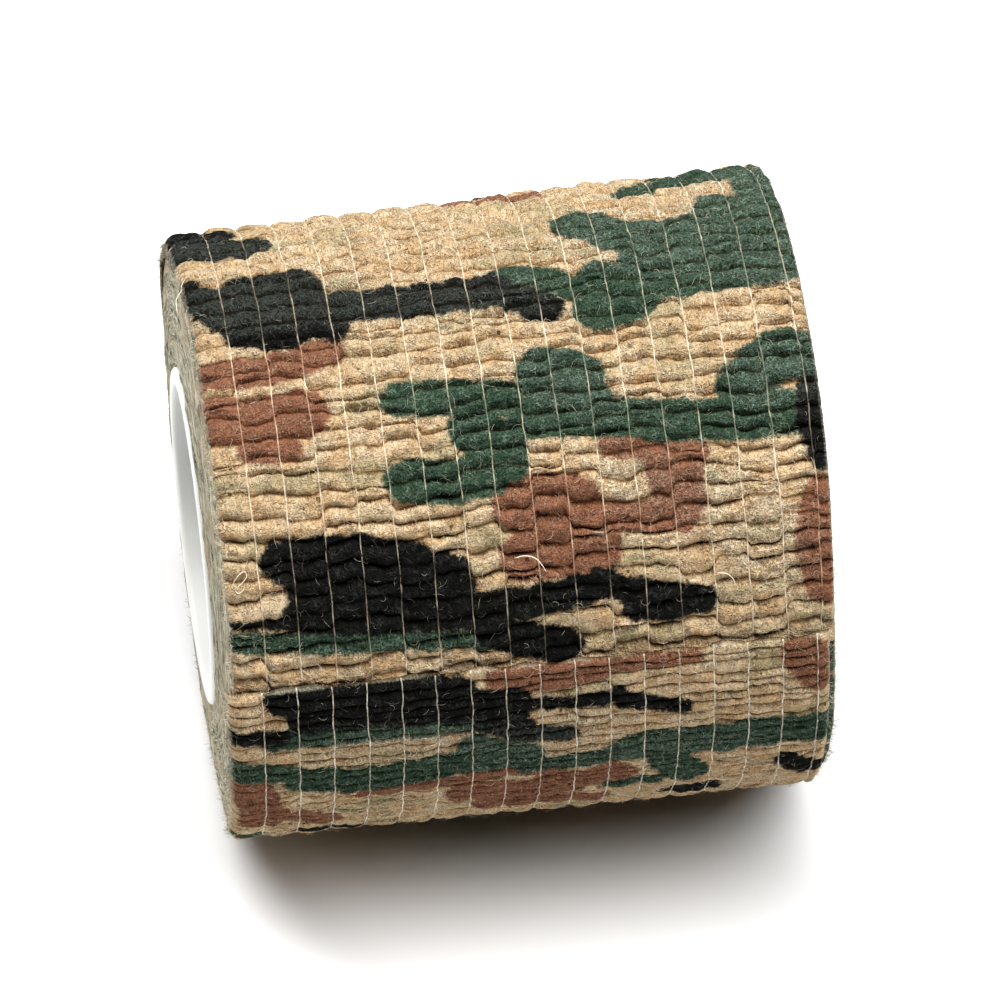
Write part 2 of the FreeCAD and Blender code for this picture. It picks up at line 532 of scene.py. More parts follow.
LAP_STROKES: dict[Dye, tuple[Stroke, ...]] = {
    Dye.RUST: (
        Stroke(1.5, ((-25, 77.3), (-19, 77.2), (-14.2, 78.3))),
        Stroke(2.3, ((-24, 73), (-20, 72.5), (-17, 72.8))),
        Stroke(1.2, ((-21.5, 70), (-18.5, 69.8))),
        Stroke(2.6, ((0, 63), (4, 62.4))),
        Stroke(2.3, ((0, 58.6), (5.5, 58.8))),
        Stroke(2.2, ((12.5, 65), (13, 62))),
        Stroke(1.3, ((8, 67.2), (14.5, 65.6))),
        Stroke(1.4, ((6, 61.2), (13, 60.6))),
        Stroke(1.8, ((24.4, 61), (23.6, 57), (24.2, 53.5))),
        Stroke(1.6, ((-1, 101), (5, 99.5))),
    ),
    Dye.GREEN: (
        Stroke(2.4, ((8.4, 90.6), (12.5, 87.5))),
        Stroke(2.6, ((13, 87.3), (17.5, 87.2), (22.5, 88))),
        Stroke(3.4, ((13.5, 83), (19, 83.2), (24, 83.5))),
        Stroke(2.3, ((9.5, 82.6), (11.5, 80.3), (8.5, 79.4))),
        Stroke(1.6, ((1.5, 84.2), (5.5, 82.8), (8, 81.5))),
        Stroke(2.0, ((20, 90.8), (23.5, 91), (23.6, 95.5))),
        Stroke(1.5, ((13.4, 96.2), (17.5, 98), (24, 98.6))),
        Stroke(1.8, ((17, 100.5), (24, 102))),
        Stroke(2.5, ((3.2, 74), (5.6, 73.2))),
        Stroke(1.7, ((-8.8, 73), (-4, 72.6), (2, 71.6), (7, 71))),
        Stroke(2.2, ((-3.2, 69.7), (-1.4, 68.2), (-1.2, 66.8))),
        Stroke(1.9, ((-9.2, 65.9), (-5, 65.4), (-2.2, 65.9))),
        Stroke(1.7, ((1, 69.9), (6, 69.6), (12, 68.9))),
        Stroke(1.9, ((12, 68.6), (17, 68.2), (24.5, 68))),
        Stroke(2.2, ((19, 70.8), (22.4, 73.4), (25, 72.6))),
        Stroke(1.05, ((-25, 53.7), (-18, 53), (-12, 52.5), (-6, 52), (-3, 51.3))),
    ),
    Dye.BLACK: (
        Stroke(2.5, ((-26, 95.2), (-22.5, 94.6), (-19.3, 94.4))),
        Stroke(2.4, ((-24, 101), (-22, 98.5))),
        Stroke(1.6, ((-25.5, 88), (-23.6, 85.8))),
        Stroke(2.7, ((-22, 84.6), (-18.5, 86), (-17, 86.4))),
        Stroke(2.6, ((-20.2, 82.2), (-17.6, 81.6), (-16.5, 83.5))),
        Stroke(1.9, ((-15.6, 86.6), (-14.8, 83), (-13.8, 81.2))),
        Stroke(1.95, ((-13, 83.2), (-9, 82.9), (-4, 82.8), (0, 82.9))),
        Stroke(1.6, ((-1, 83.2), (2, 81.4), (4.2, 80.3))),
        Stroke(1.2, ((24.4, 70), (23.9, 67), (24.6, 64.2))),
        Stroke(1.8, ((-20.2, 60.4), (-14, 60.4), (-9.5, 59.2))),
        Stroke(2.6, ((-17.6, 58.4), (-10, 57.8), (-7, 57.2))),
        Stroke(1.6, ((-19, 55.4), (-12, 54.7), (-4, 54.1))),
        Stroke(0.5, ((-25, 55.2), (-19, 54.9))),
        Stroke(1.5, ((-5, 54.6), (0, 54.6), (4.5, 55.2))),
        Stroke(1.3, ((5.6, 55.8), (9, 54.4), (14, 53.2))),
        Stroke(1.2, ((8.5, 53), (12, 52.6))),
        Stroke(1.7, ((-3.4, 52.6), (-1, 51.2), (2.4, 50.4))),
    ),
}
TAIL_STROKES: dict[Dye, tuple[Stroke, ...]] = {
    Dye.RUST: (
        Stroke(1.5, ((-3, 48), (3, 48), (6, 48.6))),
        Stroke(0.8, ((6, 48.4), (13, 48.4))),
        Stroke(1.9, ((22, 47.6), (23.4, 45.4))),
        Stroke(1.9, ((-24, 37.9), (-23, 34.4), (-23, 31.5))),
        Stroke(1.3, ((-22, 33), (-19, 31.6), (-17.4, 30.2))),
        Stroke(0.9, ((-14.5, 35.6), (-8, 35.9), (-1, 37), (1.6, 35.6))),
        Stroke(2.1, ((-5.6, 33.6), (-1, 33), (3, 33.6), (6.4, 34.4))),
        Stroke(1.6, ((-4, 30.4), (2, 29.6), (5, 28.4))),
        Stroke(1.4, ((12, 23), (19, 24.5))),
    ),
    Dye.GREEN: (
        Stroke(1.2, ((-22, 44), (-14, 44), (-6, 43.8))),
        Stroke(1.3, ((-5.6, 41.2), (-2.6, 40))),
        Stroke(1.3, ((-25, 40.6), (-20.4, 39.4))),
        Stroke(1.9, ((-19.4, 38.6), (-15.6, 37.8), (-11, 38), (-6.4, 38.9), (-1.4, 39))),
        Stroke(1.2, ((-1, 37.6), (4, 37.4), (7, 38))),
        Stroke(2.0, ((8, 38.6), (14, 38.6), (24.6, 38.9))),
        Stroke(1.9, ((11, 36), (12.6, 33.2))),
        Stroke(0.9, ((6.4, 32), (10, 32.4))),
        Stroke(1.7, ((-25, 26), (-20, 21.8))),
    ),
    Dye.BLACK: (
        Stroke(1.6, ((-21, 48.2), (-14, 48.3), (-8.4, 47.6), (-6.6, 47.2))),
        Stroke(0.9, ((-25.5, 44.6), (-21.4, 44.4))),
        Stroke(1.8, ((-19.2, 46.2), (-12, 46.1), (-5, 45.6), (-2, 45.2))),
        Stroke(0.8, ((-3, 45.2), (3, 45), (6.8, 45.2))),
        Stroke(0.9, ((7, 44.8), (9.6, 43.9), (12, 43.2))),
        Stroke(1.5, ((-3.8, 43.6), (-1.6, 42.4))),
        Stroke(1.0, ((-1, 41.8), (2.4, 41.3))),
        Stroke(1.3, ((21, 33.8), (22.6, 32.2), (24.4, 30.6))),
        Stroke(1.4, ((12, 28.4), (14.6, 28.8))),
        Stroke(2.2, ((-18.2, 25.6), (-14.5, 23.6))),
    ),
}
WORN_SPOTS = (
    ((10, 88), (24, 84), 4.5),
    ((20, 90), (24, 97), 3.5),
    ((-25, 96), (-18, 94), 2.5),
    ((-21, 85), (-13, 85), 3.5),
    ((-12, 83), (3, 82), 2.0),
    ((3, 74), (8, 71), 2.0),
    ((20, 72), (24, 72), 2.5),
    ((8, 64.5), (11, 63.5), 2.0),
    ((16, 62), (20, 57), 3.0),
    ((-16, 43), (4, 41), 1.5),
    ((-2, 39), (18, 38), 1.5),
)


@dataclass(frozen=True)
class CamouflagePrint:
    """The tape's print: strokes that repeat along the roll, and the gathered tail's own."""

    shape: RollShape
    repeat: float = 56.0
    drawn_from: float = 40.0
    drawn_until: float = 112.0
    tail_from: float = 20.0
    tail_until: float = 26.0

    def depths(self, x: np.ndarray, s: np.ndarray) -> dict[Dye, np.ndarray]:
        """Return how deep in each dye every place is, in millimetres.

        Args:
            x: places across the tape.
            s: places along the tape, 0 at the bottom of the last turn.

        Returns:
            For each dye, one depth for each place.
        """
        on_tail = smooth_step(self.tail_from, self.tail_until, s)
        found = {}
        for dye in Dye:
            lap = np.full(x.shape, NO_DYE)
            for turn in range(-2, 5):
                placed = s + self.shape.round_length - turn * self.repeat
                if placed.max() < self.drawn_from or placed.min() > self.drawn_until:
                    continue
                for stroke in LAP_STROKES[dye]:
                    lap = np.maximum(lap, stroke.depth(x, placed))
            tail = np.full(x.shape, NO_DYE)
            if s.max() > self.tail_from:
                for stroke in TAIL_STROKES[dye]:
                    tail = np.maximum(tail, stroke.depth(x, s))
            found[dye] = lap * (1 - on_tail) + tail * on_tail
        return found

    def wear(self, x: np.ndarray, s: np.ndarray) -> np.ndarray:
        """Return how rubbed the cloth is at each place, 0 to 1."""
        placed = np.where(s > self.tail_from, s, s + self.shape.round_length)
        worn = np.zeros(x.shape)
        for start, end, radius in WORN_SPOTS:
            depth = Stroke(radius, (start, end)).depth(x, placed)
            worn = np.maximum(worn, smooth_step(-1.5, 1.5, depth))
        return worn


# ---------------------------------------------------------------------------- the finishes
class Nodes:
    """A short way to write a material's nodes."""

    def __init__(self, name: str) -> None:
        """Start a material whose shader is Principled BSDF."""
        self.material = bpy.data.materials.new(name)
        self.material.use_nodes = True
        self.tree = self.material.node_tree
        self.shader = self.tree.nodes["Principled BSDF"]

    def add(self, kind: str, **settings: object) -> bpy.types.Node:
        """Add a node and set its own properties."""
        node = self.tree.nodes.new(kind)
        for name, value in settings.items():
            setattr(node, name, value)
        return node

    def feed(self, socket: bpy.types.NodeSocket, source: object) -> None:
        """Link a socket to another, or set its value."""
        if isinstance(source, bpy.types.NodeSocket):
            self.tree.links.new(source, socket)
        else:
            socket.default_value = source

    def attribute(self, name: str) -> bpy.types.Node:
        """Read one of the piece's own attributes."""
        return self.add("ShaderNodeAttribute", attribute_name=name)

    def maths(self, operation: str, *values: object, clamp: bool = False) -> bpy.types.NodeSocket:
        """Work out a number from others."""
        node = self.add("ShaderNodeMath", operation=operation, use_clamp=clamp)
        for socket, value in zip(node.inputs, values):
            self.feed(socket, value)
        return node.outputs[0]

    def stretch(self, place: bpy.types.NodeSocket, scale: tuple, turn: float = 0.0) -> bpy.types.NodeSocket:
        """Scale, and turn about its third axis, a place that a pattern is read at."""
        node = self.add("ShaderNodeMapping")
        self.feed(node.inputs["Vector"], place)
        node.inputs["Scale"].default_value = scale
        node.inputs["Rotation"].default_value = (0.0, 0.0, math.radians(turn))
        return node.outputs[0]

    def noise(
        self, place: bpy.types.NodeSocket, scale: float, detail: float = 2.0, rough: float = 0.5,
        bend: float = 0.0,
    ) -> bpy.types.NodeSocket:
        """Return soft noise, about 0 to 1."""
        node = self.add("ShaderNodeTexNoise")
        self.feed(node.inputs["Vector"], place)
        node.inputs["Scale"].default_value = scale
        node.inputs["Detail"].default_value = detail
        node.inputs["Roughness"].default_value = rough
        node.inputs["Distortion"].default_value = bend
        return node.outputs["Fac"]

    def between(
        self, value: object, low: float, high: float, to_low: float = 0.0, to_high: float = 1.0
    ) -> object:
        """Map a range smoothly on to another."""
        node = self.add("ShaderNodeMapRange", interpolation_type="SMOOTHSTEP")
        self.feed(node.inputs["Value"], value)
        for name, number in (("From Min", low), ("From Max", high), ("To Min", to_low), ("To Max", to_high)):
            node.inputs[name].default_value = number
        return node.outputs[0]

    def mix(self, share: object, first: object, second: object, blend: str = "MIX") -> bpy.types.NodeSocket:
        """Mix two colours."""
        node = self.add("ShaderNodeMix", data_type="RGBA", blend_type=blend)
        self.feed(node.inputs[0], share)
        self.feed(node.inputs[6], first)
        self.feed(node.inputs[7], second)
        return node.outputs[2]

    def bump(self, height: object, strength: float, distance: float, normal: object = None) -> object:
        """Turn a height pattern into relief too fine for the mesh."""
        node = self.add("ShaderNodeBump")
        node.inputs["Strength"].default_value = strength
        node.inputs["Distance"].default_value = distance
        self.feed(node.inputs["Height"], height)
        if normal is not None:
            self.feed(node.inputs["Normal"], normal)
        return node.outputs[0]

    def surface(self, colour: object, roughness: float, specular: float, relief: object = None) -> None:
        """Give the shader its colour, its roughness, its specular level and its relief."""
        self.feed(self.shader.inputs["Base Color"], colour)
        self.shader.inputs["Roughness"].default_value = roughness
        self.shader.inputs["Specular IOR Level"].default_value = specular
        if relief is not None:
            self.feed(self.shader.inputs["Normal"], relief)

    def swirl(self, place: bpy.types.NodeSocket, scale: float, reach: float) -> bpy.types.NodeSocket:
        """Bend a place by soft noise, so that what is drawn at it curls."""
        noise = self.add("ShaderNodeTexNoise")
        self.feed(noise.inputs["Vector"], place)
        noise.inputs["Scale"].default_value = scale
        noise.inputs["Detail"].default_value = 1.0
        centred = self.add("ShaderNodeVectorMath", operation="SUBTRACT")
        self.feed(centred.inputs[0], noise.outputs["Color"])
        centred.inputs[1].default_value = (0.5, 0.5, 0.5)
        moved = self.add("ShaderNodeVectorMath", operation="MULTIPLY_ADD")
        self.feed(moved.inputs[0], centred.outputs[0])
        moved.inputs[1].default_value = (reach, reach, reach)
        self.feed(moved.inputs[2], place)
        return moved.outputs[0]

    def lace(self, place: bpy.types.NodeSocket, scale: float) -> bpy.types.NodeSocket:
        """Return loops of curled fibre, 1 on a fibre and 0 in the holes."""
        cells = self.add("ShaderNodeTexVoronoi", feature="DISTANCE_TO_EDGE")
        self.feed(cells.inputs["Vector"], place)
        cells.inputs["Scale"].default_value = scale
        return self.between(cells.outputs["Distance"], 0.04, 0.16, 1.0, 0.0)

    def pricks(self, place: bpy.types.NodeSocket, scale: float) -> bpy.types.NodeSocket:
        """Return small scattered holes, 1 in a hole, one in every few cells."""
        cells = self.add("ShaderNodeTexVoronoi", feature="F1")
        self.feed(cells.inputs["Vector"], place)
        cells.inputs["Scale"].default_value = scale
        chosen = self.add("ShaderNodeSeparateColor")
        self.feed(chosen.inputs[0], cells.outputs["Color"])
        size = self.between(chosen.outputs[0], 0.45, 1.0, -0.1, 0.17)
        return self.between(self.maths("SUBTRACT", size, cells.outputs["Distance"]), -0.04, 0.04)

    def fibres(self, place: bpy.types.NodeSocket, scale: float) -> bpy.types.NodeSocket:
        """Return a web of thin crossing fibres, 1 on a fibre and 0 between."""
        webs = []
        for turn, squash in ((20.0, 0.45), (-35.0, 0.4), (80.0, 0.5)):
            laid = self.stretch(place, (scale, scale * squash, scale), turn)
            noise = self.noise(laid, 1.0, 2.0, 0.55, 0.8)
            off_line = self.maths("ABSOLUTE", self.maths("SUBTRACT", noise, 0.5))
            webs.append(self.between(off_line, 0.0, 0.045, 1.0, 0.0))
        return self.maths("MAXIMUM", self.maths("MAXIMUM", webs[0], webs[1]), webs[2])


Colour = tuple[float, float, float, float]


@dataclass(frozen=True)
class Dyes:
    """The print's colours: each deep, and pale where the fibres are rubbed."""

    tan: Colour = (0.5106, 0.3552, 0.2035, 1.0)
    tan_pale: Colour = (0.5772, 0.4514, 0.296, 1.0)
    tan_deep: Colour = (0.37, 0.2331, 0.111, 1.0)
    khaki: Colour = (0.37, 0.3108, 0.185, 1.0)
    rust: Colour = (0.212, 0.094, 0.0525, 1.0)
    rust_pale: Colour = (0.35, 0.2, 0.132, 1.0)
    green: Colour = (0.02, 0.043, 0.024, 1.0)
    green_pale: Colour = (0.15, 0.205, 0.148, 1.0)
    black: Colour = (0.0052, 0.0052, 0.0048, 1.0)
    black_pale: Colour = (0.021, 0.0205, 0.0185, 1.0)
    bare: Colour = (0.44, 0.41, 0.32, 1.0)
    faded: Colour = (0.2, 0.225, 0.17, 1.0)

    def laid_over(
        self, nodes: Nodes, ground: object, tone: object, ragged: object, edge: float = 0.24
    ) -> object:
        """Lay the three dyes over a ground colour.

        Args:
            nodes: the material being written.
            ground: the colour beneath.
            tone: how pale the dye is at each place, 0 to 1.
            ragged: how far each dye's edge strays, in millimetres.
            edge: half the width over which a dye fades out.

        Returns:
            The printed colour's socket.
        """
        colour = ground
        for dye, deep, pale in (
            (Dye.RUST, self.rust, self.rust_pale),
            (Dye.GREEN, self.green, self.green_pale),
            (Dye.BLACK, self.black, self.black_pale),
        ):
            depth = nodes.maths("ADD", nodes.attribute(dye.value).outputs["Fac"], ragged)
            inked = nodes.between(depth, -edge, edge)
            colour = nodes.mix(inked, colour, nodes.mix(tone, deep, pale))
        return colour


@dataclass(frozen=True)
class PrintedCloth:
    """The face ply's finish: a fibrous web printed in four colours, with painted shade in its creases, fibre
    gaps and pits, and its pale lint kept to the ridge tops as painted light.
    """

    dyes: Dyes = Dyes()
    # painted shade: warm dark colour multiplied into every crease
    crease: Colour = (0.5, 0.42, 0.33, 1.0)
    # painted shade: colour multiplied into the gaps between the raised fibres
    hole: Colour = (0.5, 0.42, 0.34, 1.0)
    # painted shade: dark colour multiplied into the small pits
    prick: Colour = (0.22, 0.17, 0.12, 1.0)
    # lightening for the raised lint, applied through the lint mask, so partly painted light on the ridge
    # tops
    rubbed: Colour = (1.18, 1.24, 1.34, 1.0)
    # pale lint colour added through the lint mask; that mask is real lint and also painted light, fullest on
    # the ridge tops
    lint_and_ridge_light: Colour = (0.03, 0.033, 0.029, 1.0)

    def make(self) -> bpy.types.Material:
        """Build the material."""
        nodes = Nodes("printed_cloth")
        place = nodes.attribute("cloth_mm").outputs["Vector"]
        ridge = nodes.attribute("ridge").outputs["Fac"]
        bent = nodes.swirl(place, 1.6, 0.5)
        web = nodes.fibres(bent, 1.35)
        lace = nodes.lace(nodes.swirl(place, 1.9, 0.6), 2.7)
        grain = nodes.noise(place, 5.0, 3.0, 0.7)
        patch = nodes.noise(place, 0.45, 2.0, 0.5)
        rubbed = nodes.noise(place, 1.05, 2.0, 0.55)
        wander = nodes.maths("MULTIPLY_ADD", nodes.noise(place, 0.8, 1.0, 0.5), 0.9, -0.45)
        ragged = nodes.maths("MULTIPLY_ADD", nodes.noise(place, 3.6, 3.0, 0.65), 0.9, -0.45)
        ragged = nodes.maths("ADD", wander, ragged)
        ground = nodes.mix(nodes.between(patch, 0.36, 0.64), self.dyes.tan, self.dyes.tan_pale)
        olive = nodes.noise(nodes.stretch(place, (0.12, 0.3, 1.0)), 1.0, 2.0, 0.5)
        ground = nodes.mix(nodes.between(olive, 0.5, 0.66, 0.0, 0.75), ground, self.dyes.khaki)
        ground = nodes.mix(nodes.between(grain, 0.5, 0.72, 0.0, 0.72), ground, self.dyes.tan_deep)
        tone = nodes.between(grain, 0.35, 0.68)
        tone = nodes.maths("MULTIPLY", tone, nodes.between(rubbed, 0.35, 0.7, 0.25, 1.0))
        colour = self.dyes.laid_over(nodes, ground, tone, ragged)
        worn = nodes.attribute("worn").outputs["Fac"]
        fuzzy = nodes.between(nodes.maths("MULTIPLY_ADD", worn, 0.22, rubbed), 0.44, 0.6)
        cut = nodes.maths("MULTIPLY_ADD", grain, 0.9, nodes.attribute("cut_edge").outputs["Fac"])
        colour = nodes.mix(nodes.between(cut, 1.0, 1.45, 0.0, 0.6), colour, self.dyes.bare)
        colour = nodes.mix(nodes.maths("MULTIPLY", worn, 0.09), colour, self.dyes.faded)
        lint_and_ridge_light = nodes.maths("MULTIPLY", web, 0.3)
        lint_and_ridge_light = nodes.maths("MAXIMUM", lint_and_ridge_light, nodes.maths("MULTIPLY", lace, fuzzy))
        # painted light and shade: the lint is cut to 15% in the creases and is full on the ridge tops
        lint_and_ridge_light = nodes.maths("MULTIPLY", lint_and_ridge_light, nodes.between(ridge, 0.2, 0.9, 0.15, 1.0))
        lint_and_ridge_light = nodes.maths("MULTIPLY", lint_and_ridge_light, nodes.maths("MULTIPLY_ADD", worn, 1.7, 0.75))
        # painted shade: the gaps between the lace fibres are darkened by the hole colour
        holes = nodes.maths("MULTIPLY", nodes.maths("SUBTRACT", 1.0, lace), fuzzy)
        hole_painted_shade = nodes.mix(1.0, colour, self.hole, "MULTIPLY")
        colour = nodes.mix(nodes.maths("MULTIPLY", holes, 0.46), colour, hole_painted_shade)
        raised = nodes.mix(1.0, nodes.mix(1.0, colour, self.rubbed, "MULTIPLY"), self.lint_and_ridge_light, "ADD")
        colour = nodes.mix(lint_and_ridge_light, colour, raised)
        # painted shade: the small pits are darkened by the prick colour; they are also pressed in by the
        # bump further down
        pricks = nodes.pricks(nodes.swirl(place, 2.0, 0.3), 0.85)
        pit_painted_shade = nodes.mix(1.0, colour, self.prick, "MULTIPLY")
        colour = nodes.mix(nodes.maths("MULTIPLY", pricks, 0.75), colour, pit_painted_shade)
        # painted shade: the colour is multiplied towards the crease colour where the ridge share is low,
        # darkening each crease
        shade = nodes.mix(nodes.between(ridge, 0.0, 0.55), self.crease, (1.0, 1.0, 1.0, 1.0))
        colour = nodes.mix(1.0, colour, shade, "MULTIPLY")
        clumps = nodes.maths("MULTIPLY_ADD", grain, 1.2, nodes.maths("MULTIPLY_ADD", lace, fuzzy, web))
        clumps = nodes.maths("SUBTRACT", clumps, nodes.maths("MULTIPLY", pricks, 1.5))
        relief = nodes.bump(clumps, 0.9, 0.00011)
        wrinkles = nodes.noise(nodes.stretch(place, (1.1, 3.4, 1.0)), 1.0, 3.0, 0.6)
        nodes.surface(colour, 0.95, 0.08, nodes.bump(wrinkles, 0.9, 0.0003, relief))
        return nodes.material


@dataclass(frozen=True)
class PlainCloth:
    """The back ply's finish: the same fibrous web without the print."""

    light: Colour = (0.52, 0.46, 0.34, 1.0)
    dark: Colour = (0.3, 0.26, 0.19, 1.0)

    def make(self) -> bpy.types.Material:
        """Build the material."""
        nodes = Nodes("plain_cloth")
        place = nodes.attribute("cloth_mm").outputs["Vector"]
        web = nodes.fibres(place, 1.35)
        speckle = nodes.noise(place, 3.0, 3.0, 0.65)
        nodes.surface(nodes.mix(speckle, self.dark, self.light), 0.95, 0.08, nodes.bump(web, 0.8, 0.0001))
        return nodes.material


@dataclass(frozen=True)
class StackedEdges:
    """The finish of the roll's ends, where the edges of all the turns show, with painted shade in the
    grooves between them.
    """

    pale: Colour = (0.56, 0.53, 0.425, 1.0)
    tan: Colour = (0.42, 0.35, 0.25, 1.0)
    olive: Colour = (0.18, 0.185, 0.13, 1.0)
    dark: Colour = (0.035, 0.037, 0.03, 1.0)
    rust: Colour = (0.26, 0.18, 0.125, 1.0)

    def make(self) -> bpy.types.Material:
        """Build the material."""
        nodes = Nodes("stacked_edges")
        place = nodes.attribute("layer_mm").outputs["Vector"]
        groove = nodes.attribute("ridge").outputs["Fac"]
        streak = nodes.noise(nodes.stretch(place, (0.4, 0.4, 5.5)), 1.0, 4.0, 0.7)
        hue = nodes.noise(nodes.stretch(place, (0.2, 0.2, 1.4)), 1.0, 2.0, 0.5)
        fine = nodes.noise(nodes.stretch(place, (1.6, 1.6, 13.0)), 1.0, 2.0, 0.6)
        colour = nodes.mix(nodes.between(streak, 0.38, 0.62), self.olive, self.pale)
        colour = nodes.mix(nodes.between(hue, 0.52, 0.6), colour, self.tan)
        colour = nodes.mix(nodes.between(hue, 0.36, 0.3), colour, self.rust)
        colour = nodes.mix(nodes.between(streak, 0.4, 0.3), colour, self.dark)
        colour = nodes.mix(nodes.between(fine, 0.55, 0.75, 0.0, 0.5), colour, self.pale)
        # painted shade: the colour is darkened to 30% in the grooves between the ply edges
        colour = nodes.mix(1.0, colour, nodes.between(groove, 0.0, 0.7, 0.3, 1.0), "MULTIPLY")
        nodes.surface(colour, 0.95, 0.15, nodes.bump(nodes.maths("ADD", streak, fine), 0.8, 0.0001))
        return nodes.material


@dataclass(frozen=True)
class ElasticYarn:
    """The finish of the pale covered threads, which take a little of the print."""

    name: str
    pale: Colour = (0.68, 0.58, 0.44, 1.0)
    dull: Colour = (0.42, 0.34, 0.24, 1.0)
    taken_dye: float = 0.88

    def make(self) -> bpy.types.Material:
        """Build the material."""
        nodes = Nodes(self.name)
        place = nodes.add("ShaderNodeTexCoord").outputs["Object"]
        streak = nodes.noise(place, 1500.0, 2.0, 0.6)
        patch = nodes.noise(place, 500.0, 1.0, 0.5)
        bare = nodes.mix(nodes.between(streak, 0.4, 0.62), self.dull, self.pale)
        dyed = Dyes().laid_over(nodes, bare, streak, 0.0, 0.3)
        share = nodes.maths("MULTIPLY", nodes.between(patch, 0.38, 0.62, 0.55, 1.0), self.taken_dye)
        nodes.surface(nodes.mix(share, bare, dyed), 0.7, 0.25, nodes.bump(streak, 0.5, 0.00005))
        return nodes.material


@dataclass(frozen=True)
class LooseFibre:
    """The finish of the fuzz: pale fibres, some of which carry the dye of the cloth they left."""

    pale: Colour = (0.82, 0.76, 0.62, 1.0)
    dull: Colour = (0.5, 0.4, 0.27, 1.0)

    def make(self) -> bpy.types.Material:
        """Build the material."""
        nodes = Nodes("loose_fibre")
        tone = nodes.attribute("tone").outputs["Fac"]
        place = nodes.add("ShaderNodeTexCoord").outputs["Object"]
        streak = nodes.noise(place, 2200.0, 1.0, 0.5)
        paleness = nodes.maths("MULTIPLY_ADD", streak, 0.3, nodes.maths("MULTIPLY", tone, 0.7))
        bare = nodes.mix(paleness, self.dull, self.pale)
        dyed = Dyes().laid_over(nodes, bare, 1.0, 0.0, 0.3)
        nodes.surface(nodes.mix(nodes.between(tone, 0.55, 1.0, 0.85, 0.35), bare, dyed), 0.8, 0.2)
        return nodes.material


@dataclass(frozen=True)
class CorePlastic:
    """The core's finish: white moulded plastic with faint drag marks along its bore."""

    white: Colour = (0.77, 0.77, 0.75, 1.0)
    shade: Colour = (0.69, 0.69, 0.67, 1.0)

    def make(self) -> bpy.types.Material:
        """Build the material."""
        nodes = Nodes("core_plastic")
        place = nodes.add("ShaderNodeTexCoord").outputs["Object"]
        cloud = nodes.noise(place, 120.0, 3.0, 0.5)
        drag = nodes.noise(nodes.stretch(place, (60.0, 1500.0, 1500.0)), 1.0, 2.0, 0.5)
        nodes.feed(nodes.shader.inputs["Base Color"], nodes.mix(cloud, self.shade, self.white))
        nodes.feed(nodes.shader.inputs["Roughness"], nodes.between(cloud, 0.3, 0.7, 0.36, 0.5))
        nodes.feed(nodes.shader.inputs["Normal"], nodes.bump(drag, 0.12, 0.00004))
        return nodes.material


@dataclass
class Finishes:
    """Every finish, made once and shared."""

    printed: bpy.types.Material = field(default_factory=lambda: PrintedCloth().make())
    plain: bpy.types.Material = field(default_factory=lambda: PlainCloth().make())
    edges: bpy.types.Material = field(default_factory=lambda: StackedEdges().make())
    yarn: bpy.types.Material = field(default_factory=lambda: ElasticYarn("elastic_yarn").make())
    bare_yarn: bpy.types.Material = field(
        default_factory=lambda: ElasticYarn(
            "bare_elastic_yarn", (0.72, 0.67, 0.56, 1.0), (0.42, 0.37, 0.28, 1.0), 0.45
        ).make()
    )
    core: bpy.types.Material = field(default_factory=lambda: CorePlastic().make())
    fibre: bpy.types.Material = field(default_factory=lambda: LooseFibre().make())


